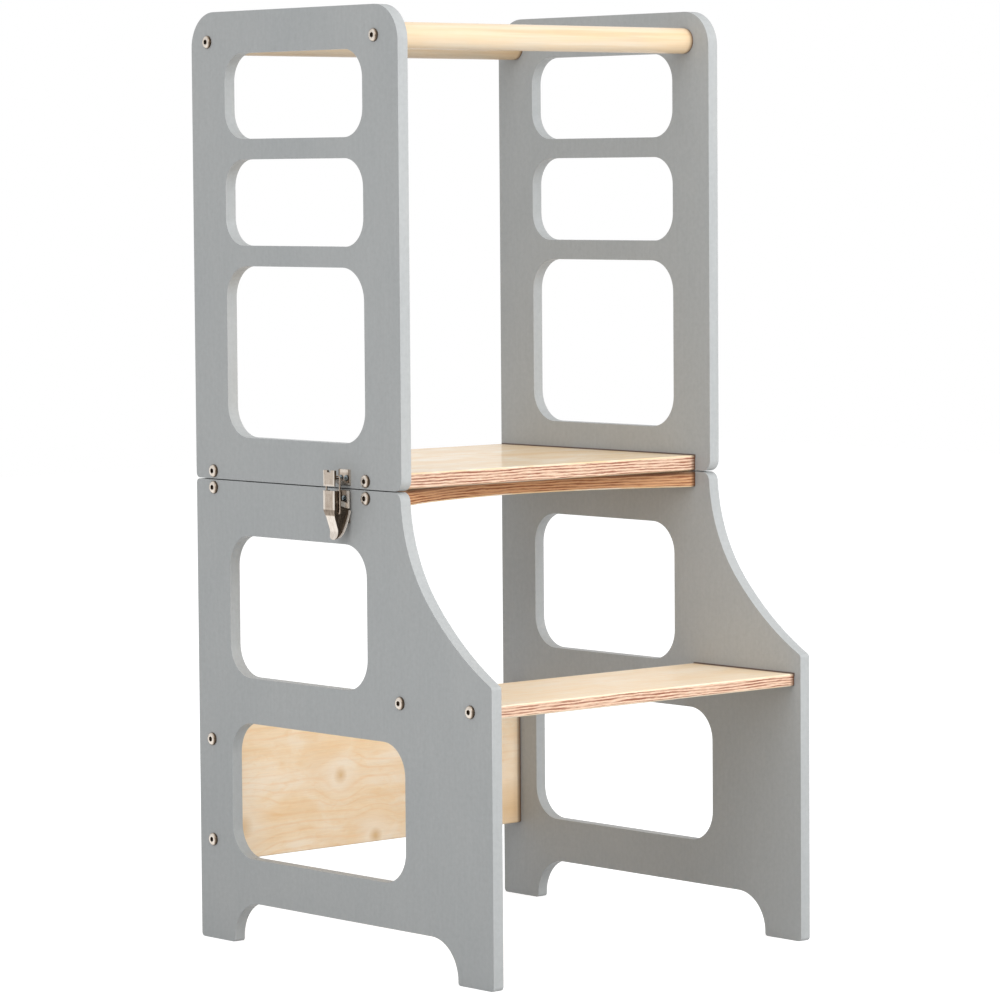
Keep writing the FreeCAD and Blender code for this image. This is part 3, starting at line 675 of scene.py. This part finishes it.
def side_head_tone(s):
    """Heads of the side screws: a crown with a painted highlight, a rim and a brown socket in painted
    shade, and a painted dark reflection on the side of the step."""
    at = outer_place(s)
    front = s.span(s.axes(s.normal)[1], -0.75, -0.2, 1.0, 0.0)
    rim = s.span(at.facing_out, 0.9, 0.5)
    socket = s.span(at.facing_out, 0.2, 0.1)
    socket_floor = s.times(s.span(at.out, 1.6, 1.2), s.span(at.facing_out, 0.9, 0.95))
    # Painted highlight, shade and dark reflection, layered.
    return s.layered(0.92, (rim, 0.5), (front, 0.1), (socket, 0.3), (socket_floor, 0.3))


def latch_head_tone(s):
    """Heads of the latch screws: dull, with painted shade in the crosses and a painted dark reflection on
    the side of the step.
    """
    facing = s.axes(s.normal)
    front = s.span(facing[1], -0.7, -0.2, 1.0, 0.0)
    cross = s.span(s.absolute(facing[0]), 0.3, 0.15)
    return s.layered(0.68, (front, 0.2), (cross, 0.1))


def even_tone(tone):
    """The same polish all over."""
    return lambda s: tone


# ---------------------------------------------------------------- dressing the nodes

PANEL_KNOTS = (    # along the panel, up from the floor, radius and strength
    (-0.048, 0.146, 0.011, 0.7),
    (-0.004, 0.081, 0.011, 0.7),
    (-0.174, 0.106, 0.016, 0.55),
    (0.180, 0.090, 0.040, 0.5),
)
FINISHES = {
    "grey_sides": grey_paint(),
    "screws": plated("screw_nickel", side_head_tone),
    "hinges": plated("hinge_steel", even_tone(0.62)),
    "latch_screws": plated("latch_screw_zinc", latch_head_tone, ZINC_TONES),
}
LATCH_FINISHES = {
    "latch_lever": plated("lever_nickel", lever_tone),
    "latch_catch": plated("catch_nickel", catch_tone),
    "latch_base": plated("base_nickel", base_tone),
    "latch_loop": plated("wire_nickel", wire_tone),
    "latch_pivot": plated("pivot_nickel", wire_tone),
}
# The lips are bright all over: a painted highlight along the rims.
LIP_FINISH = plated("lip_nickel", even_tone(0.95), rough_low=0.4, rough_high=0.5, metallic=0.2)


def dress(name, material):
    """Gives a node its material."""
    node = frame["nodes"][name]
    node.data.materials.clear()
    node.data.materials.append(material)


def dress_wood():
    """The plies of each board run through its own thickness. The rails have a grain each, and the rear one
    is darker: painted shade."""
    dress("upper_platform", plywood("upper_platform", 2, 1.3, coat=0.42, deep=0.8))
    # The lower platform's browner plies and wider dark seam are painted shade under the upper platform.
    dress("lower_platform", plywood("lower_platform", 2, 5.0, coat=0.2, shade_browning=0.8, seam_shadow_reach=5 * MM))
    dress("step_board", plywood("step_board", 2, 8.7, coat=0.2, coat_roughness=0.35, deep=0.35))
    # The back panel's tint is partly its own warmer veneer and partly painted light that makes up for the
    # step's shade.
    dress("back_panel", plywood(
        "back_panel", 1, 12.4, coat=0.15, coat_roughness=0.4, deep=0.55,
        tint=(1.06, 1.02, 0.98), knots=PANEL_KNOTS,
    ))
    dress("front_rail", rail_wood("front_rail", 0.4))
    # Painted shade: the rear rail is drawn darker.
    dress("rear_rail", rail_wood("rear_rail", 2.9, light=0.74))


def dress_by_slot():
    """Painted and plated nodes take the material of their slot in the record, and the
    pieces of a latch each their own."""
    for entry in frame["record"]["subparts"]:
        node, slot = entry["node"], entry["material_slot"]
        if slot in FINISHES:
            dress(node, FINISHES[slot])
        if slot == "latches":
            dress(node, LATCH_FINISHES[node.rsplit("_", 1)[0]])


# ---------------------------------------------------------------- eased edges

EDGE_EASE = {"grey_sides": 0.9 * MM, "birch_ply": 0.5 * MM, "latches": 0.3 * MM}
WELD_REACH = 0.001 * MM
FLAT_ANGLE = math.radians(1.0)
EDGE_ANGLE = math.radians(30.0)


def ease_edges():
    """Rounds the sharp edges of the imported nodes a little, as sanding and pressing do."""
    for entry in frame["record"]["subparts"]:
        ease = EDGE_EASE.get(entry["material_slot"])
        if ease is None:
            continue
        node = frame["nodes"][entry["node"]]
        weld = node.modifiers.new("weld", "WELD")
        weld.merge_threshold = WELD_REACH
        flats = node.modifiers.new("flats", "DECIMATE")
        flats.decimate_type = "DISSOLVE"
        flats.angle_limit = FLAT_ANGLE
        add_bevel(node, ease, EDGE_ANGLE)
        normals = node.modifiers.new("normals", "WEIGHTED_NORMAL")
        normals.keep_sharp = False


# ---------------------------------------------------------------- screws

HEAD_TURNS = 48
DOME_STEPS = 6
CREASE_ANGLE = math.radians(35.0)
POINT = 0.6              # width and length of a shank's point as parts of its radius


def round_rim(radius):
    """A ring that is the same radius all round."""
    return lambda turn: radius


def hexagon_rim(flats):
    """A ring in the shape of a hexagon, by its width over flats."""
    sixth = math.pi / 3
    return lambda turn: flats / 2 / math.cos((turn + sixth / 2) % sixth - sixth / 2)


def cross_rim(length, width):
    """A ring in the shape of a cross, by its reach and the width of its arms."""

    def radius(turn):
        a = max(abs(math.cos(turn)), 1e-6)
        b = max(abs(math.sin(turn)), 1e-6)
        return max(min(length / a, width / 2 / b), min(length / b, width / 2 / a))

    return radius


def dome_rings(radius, height, rim, crown):
    """Rings up a shallow dome, from its rim to the flat crown."""
    rings = [(0.0, round_rim(radius)), (rim, round_rim(radius))]
    for i in range(1, DOME_STEPS + 1):
        swing = i / DOME_STEPS * math.pi / 2
        r = crown + (radius - crown) * math.cos(swing)
        rings.append((rim + (height - rim) * math.sin(swing), round_rim(r)))
    return rings


# Rings of (height, shape) from the outside of each head into its recess.
SIDE_HEAD = dome_rings(6.2 * MM, 2.8 * MM, 0.5 * MM, 3.0 * MM) + [
    (2.75 * MM, hexagon_rim(4.6 * MM)), (2.5 * MM, hexagon_rim(4.4 * MM)),
    (0.9 * MM, hexagon_rim(4.2 * MM)),
]
LATCH_HEAD = dome_rings(3.0 * MM, 1.5 * MM, 0.1 * MM, 1.3 * MM) + [
    (1.5 * MM, cross_rim(1.25 * MM, 0.7 * MM)), (0.7 * MM, cross_rim(1.0 * MM, 0.5 * MM)),
]
HINGE_HEAD = [
    (-1.0 * MM, round_rim(1.6 * MM)), (-0.05 * MM, round_rim(2.55 * MM)), (0.0, round_rim(2.5 * MM)),
    (0.0, cross_rim(1.5 * MM, 0.7 * MM)), (-0.7 * MM, cross_rim(1.2 * MM, 0.5 * MM)),
]

# Per slot: the axis the screws lie along, how far apart two heads are at least, the
# rings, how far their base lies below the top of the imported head, and the radius of the
# shank, which is hidden in the boards.
SCREWS = {
    "screws": SimpleNamespace(axis=0, apart=12 * MM, rings=SIDE_HEAD, sink=2.8 * MM, shank=2.6 * MM),
    "latch_screws": SimpleNamespace(axis=0, apart=5 * MM, rings=LATCH_HEAD, sink=1.5 * MM, shank=1.2 * MM),
    "hinges": SimpleNamespace(axis=1, apart=8 * MM, rings=HINGE_HEAD, sink=0.0, shank=1.2 * MM),
}


def head_tops(name, axis, apart):
    """Middle of the top of each screw head of a node, for screws along one axis."""
    points = [v.co for v in frame["nodes"][name].data.vertices]
    reach = max(abs(p[axis]) for p in points)
    groups = []
    for point in [p for p in points if reach - abs(p[axis]) < 0.01 * MM]:
        for group in groups:
            if (group[0] - point).length < apart:
                group.append(point)
                break
        else:
            groups.append([point])
    return [sum(group, Vector()) / len(group) for group in groups]


def screw_mesh(node, screw):
    """Whole screws at the places of a node's faceted ones, and as long."""
    places = [abs(v.co[screw.axis]) for v in frame["nodes"][node].data.vertices]
    length = max(places) - min(places) - screw.sink
    point = POINT * screw.shank
    shaft = [
        (-length, round_rim(point)), (point - length, round_rim(screw.shank)),
        (screw.rings[0][0], round_rim(screw.shank)),
    ]
    rings = shaft + screw.rings
    vertices, faces = [], []
    for top in head_tops(node, screw.axis, screw.apart):
        outwards = Vector((0.0, 0.0, 0.0))
        outwards[screw.axis] = math.copysign(1.0, top[screw.axis])
        side = UP.cross(outwards)
        start = len(vertices)
        for height, radius in rings:
            for i in range(HEAD_TURNS):
                turn = 2 * math.pi * i / HEAD_TURNS
                reach = side * math.cos(turn) + UP * math.sin(turn)
                vertices.append(top + outwards * (height - screw.sink) + reach * radius(turn))
        last = len(vertices) - HEAD_TURNS
        faces += tube_faces(start, len(rings), HEAD_TURNS)
        faces.append(tuple(range(last, last + HEAD_TURNS)))
        faces.append(tuple(reversed(range(start, start + HEAD_TURNS))))
    mesh = bpy.data.meshes.new(node + "_heads")
    mesh.from_pydata(vertices, [], faces)
    mesh.update()
    mesh.shade_smooth()
    mesh.set_sharp_from_angle(angle=CREASE_ANGLE)
    return mesh


def add_screws():
    """Finely turned screws, with their recesses, in place of the faceted ones."""
    for entry in frame["record"]["subparts"]:
        node, slot = entry["node"], entry["material_slot"]
        if slot not in SCREWS or "screws" not in node:
            continue
        mesh = screw_mesh(node, SCREWS[slot])
        mesh.materials.append(FINISHES[slot])
        heads = add_object(node + "_heads", mesh)
        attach(heads, frame["nodes"][node]["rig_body"])
        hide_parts(node)


# ---------------------------------------------------------------- latch wires

LOOP_END = 6.4 * MM      # ends of the wire from the latch's middle
LOOP_BEND = 2.0 * MM
BEND_STEPS = 8
WIRE_ROUNDNESS = 6


def rounded_corner(before, corner, after, radius):
    """Points round a right-angled corner of a path."""
    into = (corner - before).normalized()
    out_of = (after - corner).normalized()
    centre = corner - into * radius + out_of * radius
    turns = [math.pi / 2 * i / BEND_STEPS for i in range(BEND_STEPS + 1)]
    return [centre + (into * math.sin(t) - out_of * math.cos(t)) * radius for t in turns]


def loop_path(low, high, radius):
    """The middle of the wire, from its end in one cheek of the lever to the other."""
    x = (low.x + high.x) / 2
    middle = (low.y + high.y) / 2
    near, far = low.y + radius, high.y - radius
    foot, top = low.z + radius, high.z - radius
    corners = [
        Vector((x, middle - LOOP_END, foot)), Vector((x, near, foot)), Vector((x, near, top)),
        Vector((x, far, top)), Vector((x, far, foot)), Vector((x, middle + LOOP_END, foot)),
    ]
    path = [corners[0]]
    for before, corner, after in zip(corners, corners[1:], corners[2:]):
        path += rounded_corner(before, corner, after, LOOP_BEND)
    return path + [corners[-1]]


def wire_mesh(name, path, radius):
    """Round wire along a path, with closed ends."""
    curve = bpy.data.curves.new(name, "CURVE")
    curve.dimensions = "3D"
    curve.bevel_depth = radius
    curve.bevel_resolution = WIRE_ROUNDNESS
    curve.use_fill_caps = True
    spline = curve.splines.new("POLY")
    spline.points.add(len(path) - 1)
    for point, place in zip(spline.points, path):
        point.co = (*place, 1.0)
    bent = bpy.data.objects.new(name + "_curve", curve)
    mesh = bpy.data.meshes.new_from_object(bent)
    bpy.data.objects.remove(bent)
    mesh.shade_smooth()
    return mesh


def add_loops():
    """Smooth round wire in place of each latch's faceted loop."""
    for word in HANDS:
        node = "latch_loop_" + word
        low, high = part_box(node)
        radius = (high.x - low.x) / 2
        mesh = wire_mesh(node, loop_path(low, high, radius), radius)
        mesh.materials.clear()
        mesh.materials.append(LATCH_FINISHES["latch_loop"])
        wire = add_object(node + "_wire", mesh)
        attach(wire, "loop_" + word)
        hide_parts(node)


# ---------------------------------------------------------------- latch lips

# In millimetres, out from the side and up from the floor: the rim of the lever's cheeks,
# and the edge of the base's flanges.
LEVER_RIM = ((13.0, 404.6), (7.4, 411.4), (2.4, 424.0), (2.4, 430.2))
BASE_RIM = ((3.0, 431.9), (3.0, 440.0), (3.0, 448.4))

# The lever's outline in millimetres: a round tip, cheeks that widen a little, and a
# wider top. Halves are half widths, and slopes are what a half gains per millimetre.
TIP_FLAT = 0.5           # half of the straight bit at its very end
TIP_RADIUS = 5.3
TIP_HEIGHT = 408.0       # where the tip ends and the cheeks begin
CHEEK_HALF = 5.82
CHEEK_SLOPE = 0.024
NECK_HEIGHT = 424.0      # where the cheeks end and the top begins
NECK_HALF = 6.2
NECK_SLOPE = 0.3
TOP_HALF = 8.3
BASE_HALF = 7.0

# The lip's own sizes in millimetres.
LIP_SHEET = 0.6
LIP_INNER = 0.4          # inwards of the face it is turned out from
LIP_REACH = 2.6          # beyond that face
LIP_STEPS = 10           # per stretch of its path
LIP_EASE = 0.15 * MM
LIP_EDGE_ANGLE = math.radians(50.0)


def curved(points, steps):
    """Points of a smooth curve through the given ones."""
    ends = [points[0]] + list(points) + [points[-1]]
    path = []
    for a, b, c, d in zip(ends, ends[1:], ends[2:], ends[3:]):
        for i in range(steps):
            t = i / steps
            path.append(tuple(
                0.5 * (
                    2 * q + (r - p) * t + (2 * p - 5 * q + 4 * r - u) * t * t
                    + (3 * q - p - 3 * r + u) * t ** 3
                )
                for p, q, r, u in zip(a, b, c, d)
            ))
    return path + [points[-1]]


def lever_half(up):
    """Half width of the lever at a height."""
    if up > NECK_HEIGHT:
        return min(NECK_HALF + NECK_SLOPE * (up - NECK_HEIGHT), TOP_HALF)
    if up > TIP_HEIGHT:
        return CHEEK_HALF + CHEEK_SLOPE * (up - TIP_HEIGHT)
    return TIP_FLAT + math.sqrt(TIP_RADIUS ** 2 - (TIP_HEIGHT - up) ** 2)


def lip_mesh(name, sign, path, half_width):
    """Two strips that follow a path of (out, up) points, one at each edge of a piece."""
    section = ((0.0, -LIP_INNER), (0.0, LIP_REACH), (LIP_SHEET, LIP_REACH), (LIP_SHEET, -LIP_INNER))
    corners = len(section)
    vertices, faces = [], []
    for edge in (-1, 1):
        start = len(vertices)
        for out, up in path:
            for lift, reach in section:
                x = sign * (OUTER + (out + lift) * MM)
                y = LATCH_MIDDLE + edge * (half_width(up) + reach) * MM
                vertices.append((x, y, up * MM))
        last = len(vertices) - corners
        faces += tube_faces(start, len(path), corners)
        faces += [tuple(range(start, start + corners)), tuple(range(last, last + corners))]
    mesh = bpy.data.meshes.new(name)
    mesh.from_pydata(vertices, [], faces)
    made = bmesh.new()
    made.from_mesh(mesh)
    bmesh.ops.recalc_face_normals(made, faces=made.faces)
    made.to_mesh(mesh)
    made.free()
    return mesh


def add_lips(piece, body, rim, half_width):
    """A narrow lip turned out along both edges of a latch piece, on each side."""
    path = curved(rim, LIP_STEPS)
    for word, sign in HANDS.items():
        mesh = lip_mesh(piece + "_lip_" + word, sign, path, half_width)
        mesh.materials.append(LIP_FINISH)
        lip = add_object(piece + "_lip_" + word, mesh)
        add_bevel(lip, LIP_EASE, LIP_EDGE_ANGLE)
        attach(lip, body.format(word))


# ---------------------------------------------------------------- everything


def main():
    bpy.context.scene.view_settings.view_transform = "Standard"
    add_camera()
    add_world()
    add_floor()
    add_lamps()
    dress_wood()
    dress_by_slot()
    ease_edges()
    add_screws()
    add_loops()
    add_lips("lever", "lever_{}", LEVER_RIM, lever_half)
    add_lips("base", "base", BASE_RIM, lambda up: BASE_HALF)


main()
